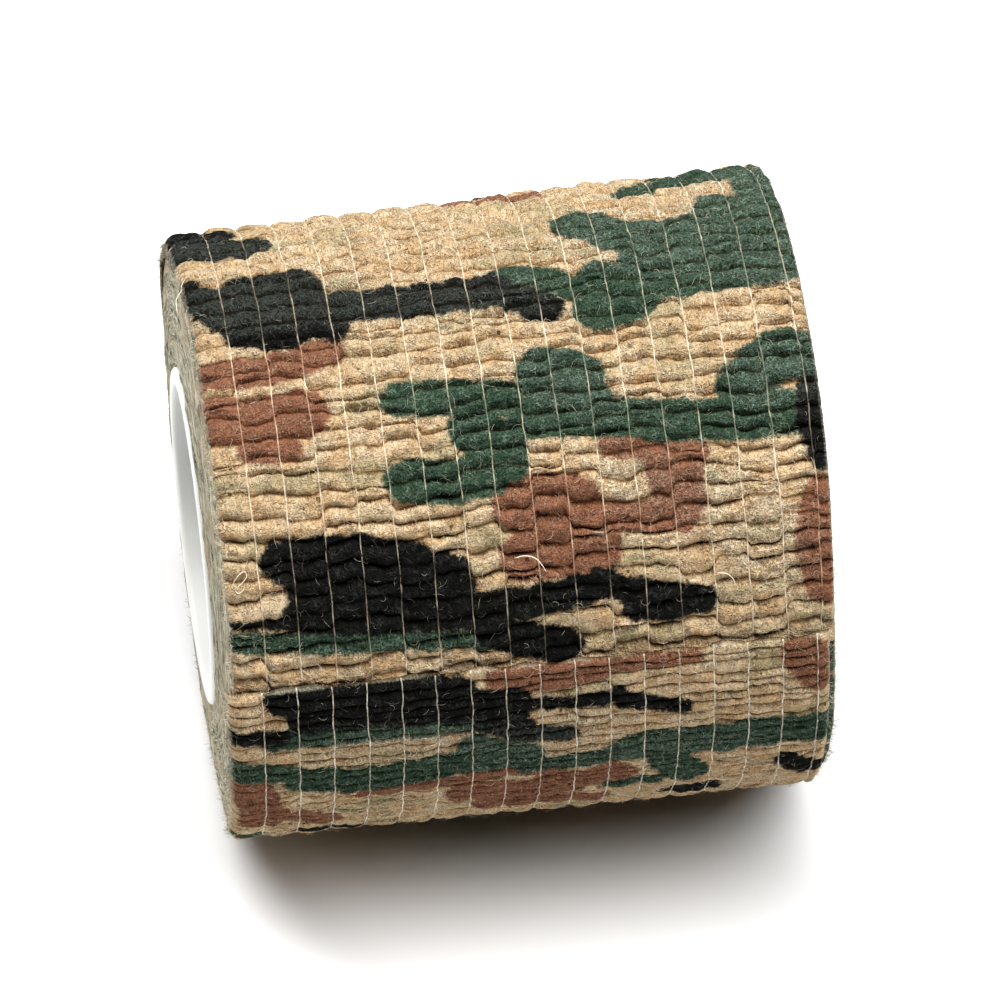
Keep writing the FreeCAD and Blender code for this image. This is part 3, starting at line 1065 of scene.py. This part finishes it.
# ------------------------------------------------------------------------- the sub-assemblies
@dataclass
class ClothStrip:
    """A stretch of the outer tape: its crinkled cloth and the yarns that lie in it."""

    shape: RollShape
    lanes: Lanes
    crinkle: Crinkle
    finishes: Finishes
    yarn_finish: bpy.types.Material
    first_s: float
    ply: float = 0.2
    rows_per_ridge: int = 9
    fibre_radius: float = 0.014
    fuzz_seed: int = 301
    edge_share: float = 0.2
    end_hairs: int = 0
    end_wave: float = 0.0
    gather: float = 1.35
    yarn_radius: float = 0.072

    def s_at(self, x: np.ndarray, phase: np.ndarray, last_phase: float) -> np.ndarray:
        """Return the distance along the tape at a ridge count, straight at both ends."""
        calm = smooth_step(0, 1.5, phase) * smooth_step(0, 1.5, last_phase - phase)
        near_end = smooth_step(last_phase - 2, last_phase, phase)
        wave = self.end_wave * self.crinkle.slow.at(x * 0.5 + 9, 0.3) * near_end
        return self.first_s + self.crinkle.pitch * (phase + calm * self.crinkle.shift(x, phase)) + wave

    def surface(
        self, x: np.ndarray, phase: np.ndarray, last_phase: float, above: float = 0.0
    ) -> tuple[np.ndarray, np.ndarray, np.ndarray]:
        """Return where the cloth's outer side lies.

        Args:
            x: places across the tape.
            phase: places along it, counted in ridges.
            last_phase: the ridge count at the end of the whole strip.
            above: how far above the cloth the places are.

        Returns:
            The places in metres, the distances along the tape, and the share of a ridge's height.
        """
        s = self.s_at(x, phase, last_phase)
        lift, ridge = self.crinkle.lift(x, phase)
        calm = smooth_step(0, 1, phase) * smooth_step(0, 1, last_phase - phase)
        leant = s - self.crinkle.lean * ridge * calm
        return self.shape.place(x, self.shape.angle_of(leant), lift + above), s, ridge

    def fuzz(
        self, name: str, first: float, last: float, last_phase: float, per_ridge: int
    ) -> bpy.types.Object:
        """Build the loose fibres between two ridge counts, thickest along the cut edges.

        Args:
            name: the piece's name.
            first: the ridge count that it starts at.
            last: the ridge count that it ends at.
            last_phase: the ridge count at the end of the whole strip.
            per_ridge: how many fibres stand on each ridge, from edge to edge.

        Returns:
            The new piece.
        """
        random = np.random.RandomState(self.fuzz_seed + int(first))
        count = int((last - first) * per_ridge)
        edge = np.zeros(count, bool)
        edge[: int(count * self.edge_share)] = True
        end = np.zeros(count, bool)
        end[-self.end_hairs - 1 : -1] = last == last_phase and self.end_hairs > 0
        x = random.uniform(-1, 1, count) * self.shape.half_width
        x = np.where(edge, np.sign(x) * (self.shape.half_width - random.uniform(0, 0.25, count)), x)
        phase = random.uniform(first + 0.05, last - 0.05, count)
        phase = np.where(end, last - random.uniform(0.02, 0.3, count), phase)
        roots, s, _ = self.surface(x, phase, last_phase)
        angle = np.radians(self.shape.angle_of(s))
        zero = np.zeros(count)
        outward = np.stack([zero, -np.sin(angle), -np.cos(angle)], axis=-1)
        along = np.stack([zero, -np.cos(angle), np.sin(angle)], axis=-1)
        across = np.stack([zero + 1, zero, zero], axis=-1)
        turn = random.uniform(0, math.tau, count)
        heading = np.cos(turn)[:, None] * across + np.sin(turn)[:, None] * along
        stray = random.uniform(-0.7, 0.7, (2, count))[:, :, None]
        sideways = np.sign(x)[:, None] * across + stray[0] * along + stray[1] * outward
        heading = np.where(edge[:, None], sideways, heading)
        heading = np.where(end[:, None], along + stray[0] * across + 0.3 * stray[1] * outward, heading)
        length = random.uniform(0.35, 1.3, count) ** 1.3 * np.where(edge | end, 0.5, 1.0)
        bend = random.uniform(-3.6, 3.6, count) * np.where(edge | end, 0.4, 1.0)
        rise = random.uniform(0.05, 0.28, count)
        lines = curled(roots, heading, outward, length * MM, bend, rise)
        lines[..., 2] = np.maximum(lines[..., 2], (self.shape.floor + 0.03) * MM)
        piece, hair = loose_fibres(name, lines, outward, self.fibre_radius * MM)
        self.dye(piece.data, x[hair], s[hair])
        paint(piece.data, "tone", random.uniform(0, 1, count)[hair])
        piece.data.materials.append(self.finishes.fibre)
        return piece

    def cloth(self, name: str, first: float, last: float, last_phase: float) -> bpy.types.Object:
        """Build the cloth between two ridge counts as a shell with thickness.

        Args:
            name: the piece's name.
            first: the ridge count that it starts at.
            last: the ridge count that it ends at.
            last_phase: the ridge count at the end of the whole strip.

        Returns:
            The new piece.
        """
        across = self.lanes.column_places()
        rows = int(round((last - first) * self.rows_per_ridge))
        mesh, column, row = grid_mesh(name, len(across) - 1, rows)
        x = across[column]
        phase = first + row / self.rows_per_ridge
        places, s, ridge = self.surface(x, phase, last_phase)
        lay(mesh, places)
        paint(mesh, "cloth_mm", np.stack([x, s, 0 * x], axis=-1))
        # the ridge share drives the painted shade in the creases and the painted light on the ridge tops in
        # the printed finish
        paint(mesh, "ridge", ridge)
        self.dye(mesh, x, s)
        finish_mesh(mesh)
        mesh.materials.append(self.finishes.printed)
        mesh.materials.append(self.finishes.plain)
        piece = new_object(name, mesh)
        self.thicken(piece, x, phase, last_phase)
        return piece

    def thicken(self, piece: bpy.types.Object, x: np.ndarray, phase: np.ndarray, last_phase: float) -> None:
        """Give the cloth its thickness, inwards from its printed side.

        Args:
            piece: the cloth, with its printed side laid.
            x: each vertex's place across the tape; not used here.
            phase: each vertex's place along it, counted in ridges; not used here.
            last_phase: the ridge count at the end of the whole strip; not used here.
        """
        wall = piece.modifiers.new("ply_thickness", "SOLIDIFY")
        wall.thickness = self.ply * MM
        wall.offset = -1.0
        wall.use_even_offset = False
        wall.material_offset = 1

    def flat_size(self, first: float, last: float) -> tuple[float, float]:
        """Return a stretch's width and length, in metres, with its crinkle pulled out."""
        return 2 * self.shape.half_width * MM, self.gather * (last - first) * self.crinkle.pitch * MM

    def dye(self, mesh: bpy.types.Mesh, x: np.ndarray, s: np.ndarray) -> None:
        """Store how deep in each dye every vertex is."""
        camouflage = CamouflagePrint(self.shape)
        printed_x = x - self.shape.tail_drift * (s > self.shape.s_of(self.shape.seam_angle + 12))
        for dye, depth in camouflage.depths(printed_x, s).items():
            paint(mesh, dye.value, depth)
        paint(mesh, "worn", camouflage.wear(x, s))
        side = smooth_step(self.shape.half_width - 0.75, self.shape.half_width, np.abs(x))
        last_s = self.shape.s_of(self.shape.end_angle)
        end = smooth_step(last_s - 0.5, last_s, s)
        paint(mesh, "cut_edge", np.maximum(side, end))

    def yarn(
        self, name: str, places: np.ndarray, first: float, last: float, last_phase: float
    ) -> bpy.types.Object:
        """Build the yarns that lie across the ridges, each a thin closed tube.

        Args:
            name: the piece's name.
            places: where each yarn lies across the tape.
            first: the ridge count that the yarns start at.
            last: the ridge count that they end at.
            last_phase: the ridge count at the end of the whole strip.

        Returns:
            The new piece.
        """
        sides, steps_per_ridge = 6, 6
        steps = int(round((last - first) * steps_per_ridge))
        joined = bmesh.new()
        for place in places:
            mesh, side, step = grid_mesh(name, sides, steps)
            phase = first + step / steps_per_ridge
            around = side / sides * math.tau
            stray = 0.09 * self.crinkle.quick.at(place * 3.1, phase * 0.9)
            x = place + stray + self.yarn_radius * np.cos(around)
            s = self.s_at(np.full(phase.shape, place), phase, last_phase)
            surface, ridge = self.crinkle.lift(np.full(phase.shape, place + 0.02), phase)
            bridged = 0.3 * self.crinkle.height - self.crinkle.sink
            rest = 0.72 * surface + 0.28 * bridged
            lift = rest + self.yarn_radius * np.sin(around)
            leant = s - 0.5 * self.crinkle.lean * ridge
            lay(mesh, self.shape.place(x, self.shape.angle_of(leant), lift))
            self.dye(mesh, x, s)
            joined.from_mesh(mesh)
            bpy.data.meshes.remove(mesh)
        bmesh.ops.remove_doubles(joined, verts=joined.verts, dist=MERGE)
        rims = [edge for edge in joined.edges if edge.is_boundary]
        bmesh.ops.holes_fill(joined, edges=rims, sides=sides)
        bmesh.ops.recalc_face_normals(joined, faces=joined.faces)
        for face in joined.faces:
            face.smooth = True
        mesh = bpy.data.meshes.new(name)
        joined.to_mesh(mesh)
        joined.free()
        mesh.materials.append(self.yarn_finish)
        return new_object(name, mesh)


@dataclass
class OuterLap(ClothStrip):
    """The last full turn of tape, in four panels, with its seventeen yarns."""

    ridges: int = 98
    fuzz_per_ridge: int = 130
    panels: tuple[tuple[str, int, int], ...] = (
        ("outer_lap_front", 0, 25),
        ("outer_lap_top", 25, 50),
        ("outer_lap_back", 50, 74),
        ("outer_lap_under", 74, 98),
    )

    def build(self) -> list[bpy.types.Object]:
        """Build and hang the panels and the yarns on the roll.

        Returns:
            The pieces made.
        """
        made = []
        for name, first, last in self.panels:
            panel = self.cloth(name, first, last, self.ridges)
            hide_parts("face_ply")
            fuzz = self.fuzz(name + "_fuzz", first, last, self.ridges, self.fuzz_per_ridge)
            self.flat_size(first, last)
            made += [panel, fuzz]
        for number, place in enumerate(self.lanes.yarn_places(), start=1):
            thread = self.yarn("thread_%02d" % number, [place], 0, self.ridges, self.ridges)
            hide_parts("yarn_%02d" % number)
            made.append(thread)
        for piece in made:
            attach(piece, Body.ROLL.value)
        return made


@dataclass
class FreeTail(ClothStrip):
    """The loose end of the tape, in lengths that each hold one hinge line."""

    ridges: int = 34
    ply: float = 0.26
    bend_reach: float = 8.5
    fuzz_per_ridge: int = 75
    end_hairs: int = 170
    end_wave: float = 0.3

    def build(self, joints: list[dict]) -> list[bpy.types.Object]:
        """Build the tail's lengths, one round each hinge line.

        Args:
            joints: the frame's joints, from the root outwards.

        Returns:
            The pieces made.
        """
        made = []
        hinges = [math.degrees(math.atan2(-joint["pos_m"][1], -joint["pos_m"][2])) for joint in joints]
        splits = [0.0]
        for hinge, following in zip(hinges, hinges[1:]):
            middle = self.shape.s_of((hinge + following) / 2)
            splits.append(round((middle - self.first_s) / self.crinkle.pitch))
        splits.append(self.ridges)
        for number, (joint, hinge) in enumerate(zip(joints, hinges)):
            name = joint["child"]
            first, last = splits[number], splits[number + 1]
            cloth = self.cloth(name + "_cloth", first, last, self.ridges)
            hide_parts(name + "_face_ply", name + "_back_ply")
            yarns = self.yarn(name + "_threads", self.lanes.yarn_places(), first, last, self.ridges)
            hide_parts(name + "_yarns")
            fuzz = self.fuzz(name + "_fuzz", first, last, self.ridges, self.fuzz_per_ridge)
            self.flat_size(first, last)
            for piece in (cloth, yarns, fuzz):
                middle, level = np.zeros(1), np.zeros(1)
                start, end = (
                    self.shape.place(middle, np.array([hinge + side * self.bend_reach]), level)[0]
                    for side in (-1, 1)
                )
                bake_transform(piece)
                made.append(piece)
        return made

    def thicken(self, piece: bpy.types.Object, x: np.ndarray, phase: np.ndarray, last_phase: float) -> None:
        """Give a length its thickness straight inwards, so that it meets the next one on both sides.

        Args:
            piece: the length's cloth, with its printed side laid.
            x: each vertex's place across the tape.
            phase: each vertex's place along it, counted in ridges.
            last_phase: the ridge count at the end of the whole strip.
        """
        inner = self.surface(x, phase, last_phase, -self.ply)[0]
        shell = bmesh.new()
        shell.from_mesh(piece.data)
        order = shell.verts.layers.int.new("order")
        for number, vertex in enumerate(shell.verts):
            vertex[order] = number
        made = bmesh.ops.extrude_face_region(shell, geom=shell.faces[:], use_keep_orig=True)["geom"]
        for part in made:
            if isinstance(part, bmesh.types.BMVert):
                part.co = inner[part[order]]
            elif isinstance(part, bmesh.types.BMFace):
                part.material_index = 1
        shell.verts.layers.int.remove(order)
        bmesh.ops.recalc_face_normals(shell, faces=shell.faces)
        put_in_order(shell)
        for face in shell.faces:
            face.smooth = True
        shell.to_mesh(piece.data)
        shell.free()


@dataclass
class WoundTurns:
    """The turns inside the roll, whose stacked edges show at both ends."""

    shape: RollShape
    finishes: Finishes
    steps_round: int = 320
    rings_per_turn: int = 6
    dome: float = 0.45
    depth_under_lap: float = 1.08
    seed: int = 71
    hairs: int = 2600
    fibre_radius: float = 0.014

    def build(self) -> bpy.types.Object:
        """Build the turns as one closed ring with every turn's edge in relief.

        Returns:
            The new piece.
        """
        inner = self.shape.core_radius + 0.05
        outer = self.shape.last_radius - self.depth_under_lap
        turns = int(math.ceil((outer - inner) / self.shape.pitch))
        rings = turns * self.rings_per_turn
        face_radii = inner + (outer - inner) * np.arange(rings + 1) / rings
        inset = 2
        radii = np.concatenate([face_radii, [outer] * inset, face_radii[::-1], [inner] * inset, [inner]])
        sides = np.concatenate(
            [-np.ones(rings + 1), np.array([-0.5, 0.5]), np.ones(rings + 1), np.array([0.5, -0.5]), [-1]]
        )
        mesh, ring, step = grid_mesh("wound_turns", len(radii) - 1, self.steps_round)
        radius, side = radii[ring], sides[ring]
        round_share = (step % self.steps_round) / self.steps_round
        angle = self.shape.seam_angle + round_share * 360.0
        turn_at = (radius - inner) / self.shape.pitch - angle / 360
        relief, groove = self.relief(turn_at, angle)
        share = (radius - inner) / (outer - inner)
        radius = radius + self.shape.pitch * (angle / 360 - 1) * share
        shoulder = 0.1 * smooth_step(0.94, 1.0, share)
        reach = self.shape.half_width - 0.15 + self.dome * (1 - share**2) - shoulder
        x = side * (reach + relief * (np.abs(side) > 0.9))
        turned = np.radians(angle)
        y, z = -radius * np.sin(turned), -radius * np.cos(turned)
        z = np.maximum(z, self.shape.floor + 0.5)
        lay(mesh, np.stack([x, y, z], axis=-1) * MM)
        paint(mesh, "layer_mm", np.stack([y + 60 * np.sign(side), z, radius], axis=-1))
        # the groove share drives the painted shade in the grooves of the end faces' finish
        paint(mesh, "ridge", groove)
        finish_mesh(mesh, merge=MERGE)
        mesh.materials.append(self.finishes.edges)
        piece = new_object("wound_turns", mesh)
        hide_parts("back_ply")
        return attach(piece, Body.ROLL.value)

    def fuzz(self) -> bpy.types.Object:
        """Build the loose fibres that stand out of the roll's two ends."""
        random = np.random.RandomState(self.seed + 9)
        inner = self.shape.core_radius + 0.2
        outer = self.shape.last_radius - self.depth_under_lap + 0.3
        share = random.uniform(0, 1, self.hairs)
        radius = inner + (outer - inner) * share
        side = np.where(random.uniform(0, 1, self.hairs) < 0.5, -1.0, 1.0)
        turned = random.uniform(0, math.tau, self.hairs)
        reach = self.shape.half_width - 0.05 + self.dome * (1 - share**2)
        roots = np.stack([side * reach, -radius * np.sin(turned), -radius * np.cos(turned)], axis=-1) * MM
        roots[:, 2] = np.maximum(roots[:, 2], (self.shape.floor + 0.4) * MM)
        zero = np.zeros(self.hairs)
        outward = np.stack([side, zero, zero], axis=-1)
        tangent = np.stack([zero, -np.cos(turned), np.sin(turned)], axis=-1)
        radial = np.stack([zero, -np.sin(turned), -np.cos(turned)], axis=-1)
        stray = random.uniform(-0.6, 0.6, (2, self.hairs))[:, :, None]
        heading = tangent + stray[0] * radial + 0.4 * np.abs(stray[1]) * outward
        length = random.uniform(0.3, 0.85, self.hairs) * MM
        lines = curled(roots, heading, outward, length, random.uniform(-2.5, 2.5, self.hairs), zero + 0.2)
        piece, hair = loose_fibres("end_fuzz", lines, outward, self.fibre_radius * MM)
        leave_undyed(piece, random.uniform(0, 1, self.hairs)[hair], self.finishes.fibre)
        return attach(piece, Body.ROLL.value)

    def relief(self, turn_at: np.ndarray, angle: np.ndarray) -> tuple[np.ndarray, np.ndarray]:
        """Return how far each ply's edge stands out of the roll's end.

        Args:
            turn_at: the turn at each place, with its share of that turn's thickness.
            angle: lap angles in degrees.

        Returns:
            The heights in millimetres, and shares from 0 in a groove to 1 on an edge.
        """
        turn = np.floor(turn_at)
        within = turn_at - turn
        along = (turn + angle / 360) * 360 / 9.0
        stagger = ValueNoise(self.seed).at(turn * 0.83, along / 4)
        pucker = ValueNoise(self.seed + 1).at(turn * 3.7, along * 1.6)
        plies = np.abs(np.sin(math.tau * within)) ** 0.7
        return 0.16 * stagger + 0.12 * pucker * plies + 0.2 * plies, plies


STRAY_FIBRES = (
    (
        "stray_fibre_curl",
        0.045,
        ((-1.2, 58.5, 0.1), (-0.3, 58.65, 0.3), (0.5, 58.4, 0.4), (1.0, 57.8, 0.35), (1.4, 57.0, 0.1)),
    ),
    (
        "stray_fibre_hook",
        0.035,
        ((15.3, 55.4, 0.1), (16.1, 55.3, 0.3), (16.6, 54.8, 0.3), (16.8, 54.2, 0.1)),
    ),
    (
        "stray_fibre_loop",
        0.03,
        (
            (-24.2, 58.2, 0.1), (-24.3, 58.8, 0.3), (-23.8, 59.6, 0.4), (-23.2, 59.9, 0.3),
            (-23.1, 59.4, 0.3), (-23.6, 58.9, 0.4), (-24.1, 58.5, 0.3), (-23.9, 58.1, 0.3),
            (-23.4, 58.4, 0.2), (-23.3, 58.9, 0.1),
        ),
    ),
    (
        "stray_fibre_edge",
        0.03,
        ((-25.7, 85.2, 0.2), (-25.6, 86.6, 0.6), (-25.0, 88.0, 0.5), (-24.4, 89.2, 0.1)),
    ),
)


@dataclass
class StrayFibres:
    """The few long pale fibres that lie on the outer lap."""

    lap: OuterLap
    points: int = 25

    def build(self) -> list[bpy.types.Object]:
        """Lay each fibre on the lap as a smooth closed tube.

        Returns:
            The pieces made.
        """
        made = []
        shape = self.lap.shape
        for name, radius, route in STRAY_FIBRES:
            knots = np.array(route)
            knots = np.vstack([2 * knots[0] - knots[1], knots, 2 * knots[-1] - knots[-2]])
            place = np.linspace(0, len(route) - 1 - 1e-9, self.points)
            span, t = place.astype(int), (place % 1)[:, None]
            a, b, c, d = (knots[span + step] for step in range(4))
            bend, twist = 2 * a - 5 * b + 4 * c - d, 3 * b - a - 3 * c + d
            line = 0.5 * (2 * b + (c - a) * t + bend * t**2 + twist * t**3)
            angle = shape.angle_of(line[:, 1] - shape.round_length)
            points = shape.place(line[:, 0], angle, line[:, 2])
            turned = math.radians(angle[0])
            outward = np.array([[0.0, -math.sin(turned), -math.cos(turned)]])
            piece, hair = loose_fibres(name, points[None], outward, radius * MM, sides=6)
            leave_undyed(piece, np.ones(len(hair)), self.lap.finishes.fibre)
            made.append(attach(piece, Body.ROLL.value))
        return made


@dataclass
class Core:
    """The plastic core, kept from the frame and given its finish."""

    finishes: Finishes

    def dress(self, node: bpy.types.Object) -> bpy.types.Object:
        """Put the plastic finish on the core's node."""
        node.data.materials.clear()
        node.data.materials.append(self.finishes.core)
        return node


# ------------------------------------------------------------------------------ the setting
@dataclass(frozen=True)
class Studio:
    """A pale floor, soft light from above and a camera with a long lens."""

    floor: float
    azimuth: float = -8.25
    elevation: float = 50.3
    distance: float = 0.8
    lens: float = 341.6
    aim: tuple[float, float] = (0.5, 0.2)
    floor_reach: float = 2.5
    floor_colour: Colour = (0.88, 0.88, 0.88, 1.0)
    room_glow: float = 0.006
    lamps: tuple[tuple, ...] = (
        ("overhead", (0.05, 0.073, 0.95), (2.2, 0.5), 30.5),
        ("left_fill", (-0.9, 0.15, 0.42), (0.5, 0.5), 0.6),
    )

    def build_floor(self) -> None:
        """Lay a wide pale floor under the roll."""
        ground = bmesh.new()
        bmesh.ops.create_grid(ground, x_segments=8, y_segments=8, size=self.floor_reach)
        bmesh.ops.translate(ground, verts=ground.verts, vec=(0.0, 0.0, self.floor * MM))
        mesh = bpy.data.meshes.new("floor")
        ground.to_mesh(mesh)
        ground.free()
        nodes = Nodes("pale_floor")
        nodes.surface(self.floor_colour, 0.85, 0.1)
        mesh.materials.append(nodes.material)
        new_object("floor", mesh)

    def build_lights(self) -> None:
        """Hang one long soft light overhead, a little behind the roll, and a weak one to its left."""
        for name, place, size, power in self.lamps:
            lamp = bpy.data.lights.new(name, "AREA")
            lamp.shape = "RECTANGLE"
            lamp.energy = power
            lamp.size, lamp.size_y = size
            holder = bpy.data.objects.new(name, lamp)
            bpy.context.scene.collection.objects.link(holder)
            holder.location = place
            holder.rotation_euler = (-Vector(place)).to_track_quat("-Z", "Y").to_euler()
        world = bpy.data.worlds.new("room")
        world.use_nodes = True
        world.node_tree.nodes["Background"].inputs["Color"].default_value = (1.0, 1.0, 1.0, 1.0)
        world.node_tree.nodes["Background"].inputs["Strength"].default_value = self.room_glow
        bpy.context.scene.world = world

    def build_camera(self) -> None:
        """Place the camera and make it the scene's own."""
        turn, rise = math.radians(self.azimuth), math.radians(self.elevation)
        back = Vector((math.sin(turn) * math.cos(rise), -math.cos(turn) * math.cos(rise), math.sin(rise)))
        right = Vector((math.cos(turn), math.sin(turn), 0.0))
        up = back.cross(right)
        target = (right * self.aim[0] + up * self.aim[1]) * MM
        camera = bpy.data.cameras.new("camera")
        camera.lens = self.lens
        camera.sensor_width = 36.0
        camera.clip_start = 0.05
        holder = bpy.data.objects.new("camera", camera)
        bpy.context.scene.collection.objects.link(holder)
        holder.matrix_world = Matrix.Translation(target + back * self.distance) @ Matrix(
            (right, up, back)
        ).transposed().to_4x4()
        bpy.context.scene.camera = holder

    def build(self) -> None:
        """Build the whole setting."""
        self.build_camera()
        self.build_floor()
        self.build_lights()
        bpy.context.scene.view_settings.view_transform = "Standard"
        bpy.context.scene.view_settings.look = "Medium High Contrast"


def main() -> None:
    """Load the frame, build every sub-assembly in order and report each piece."""
    logging.basicConfig(level=logging.INFO, format="%(name)s: %(message)s")
    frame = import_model()
    shape = RollShape.from_frame(frame["joints"])
    lanes = Lanes.from_frame(shape.half_width)
    finishes = Finishes()
    Studio(shape.floor).build()
    made = [Core(finishes).dress(frame["nodes"]["core_tube"])]
    turns = WoundTurns(shape, finishes)
    made += [turns.build(), turns.fuzz()]
    lap_start = shape.s_of(shape.seam_angle - 360)
    lap_end = shape.s_of(shape.seam_angle)
    lap_pitch = (lap_end - lap_start) / OuterLap.ridges
    lap_crinkle = Crinkle(lanes, lap_pitch, height=0.58, seed=11, sink=0.46)
    lap = OuterLap(shape, lanes, lap_crinkle, finishes, finishes.yarn, lap_start)
    made += lap.build() + StrayFibres(lap).build()
    tail_pitch = (shape.s_of(shape.end_angle) - lap_end) / FreeTail.ridges
    tail_crinkle = Crinkle(lanes, tail_pitch, height=0.34, seed=29, sink=0.3, puff=0.06, lean=0.06)
    tail = FreeTail(shape, lanes, tail_crinkle, finishes, finishes.bare_yarn, lap_end)
    made += tail.build(frame["joints"])
    for piece in made:
        log.info("%s: %d faces", piece.name, len(piece.data.polygons))


if __name__ == "__main__":
    main()
